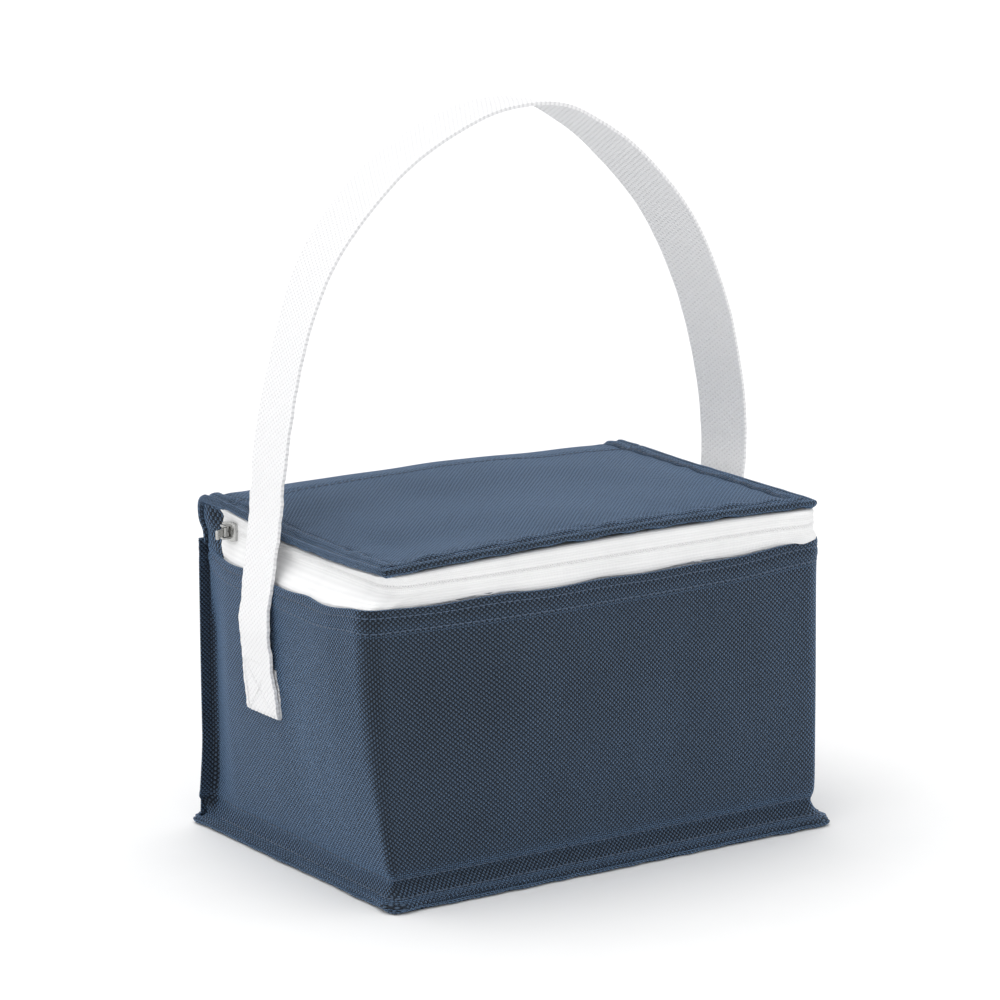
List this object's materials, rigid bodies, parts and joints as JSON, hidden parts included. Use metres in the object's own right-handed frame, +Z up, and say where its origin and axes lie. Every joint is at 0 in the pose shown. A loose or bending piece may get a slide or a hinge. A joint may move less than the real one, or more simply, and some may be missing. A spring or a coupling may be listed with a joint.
{
  "type": "insulated cooler bag",
  "caption": "Small box-shaped insulated cooler bag with a hinged lid, a zip round three sides and a webbing carrying strap.",
  "frame": {"origin": "centre of the base, on the surface that the bag stands on", "axes": "+Z up, X along the long front, -Y towards the front, the lid hinges at the back"},
  "size_m": [0.2324, 0.151, 0.3],
  "materials": {
    "cloth": "woven twill, matt",
    "foam": "closed-cell foam",
    "lining": "thin foil film, soft sheen",
    "zip_tape": "fine white woven tape",
    "zip_coil": "white nylon coil",
    "webbing": "coarse white woven webbing",
    "metal": "cast, satin nickel"
  },
  "bodies": {
    "bag": {"outer_wall": "cloth", "base_panel": "cloth", "back_panel": "cloth", "hinge_fold": "cloth", "corner_tab_left": "cloth", "corner_tab_right": "cloth", "wall_foam": "foam", "back_foam": "foam", "base_foam": "foam", "wall_lining": "lining", "back_lining": "lining", "base_lining": "lining", "zip_tape_lower": "zip_tape", "zip_coil_lower": "zip_coil", "strap_end_left": "webbing", "strap_end_right": "webbing"},
    "lid": {"lid_panel": "cloth", "lid_foam": "foam", "lid_lining": "lining", "zip_tape_upper": "zip_tape", "zip_coil_upper": "zip_coil"},
    "slider": {"zip_slider": "metal"},
    "pull": {"pull_tab": "metal"},
    "strap": {"handle_strap": "webbing"}
  },
  "joints": [
    {"name": "lid_open", "type": "hinge", "parent": "bag", "child": "lid", "pos_m": [0, 0.0645, 0.129], "axis": [-1, 0, 0], "range_deg": [0, 110]},
    {"name": "zip_slide", "type": "slide", "parent": "bag", "child": "slider", "axis": [0, -1, 0], "range_m": [0, 0.104]},
    {"name": "pull_turn", "type": "hinge", "parent": "slider", "child": "pull", "pos_m": [-0.1055, 0.0507, 0.12804], "axis": [0, 0, 1], "range_deg": [-120, 55]},
    {"name": "strap_swing", "type": "hinge", "parent": "bag", "child": "strap", "pos_m": [0, 0.016, 0.087], "axis": [-1, 0, 0], "range_deg": [0, 90]}
  ],
  "couplings": [
    {"joint": "strap_swing", "follows": "lid_open", "ratio": 0.8}
  ]
}
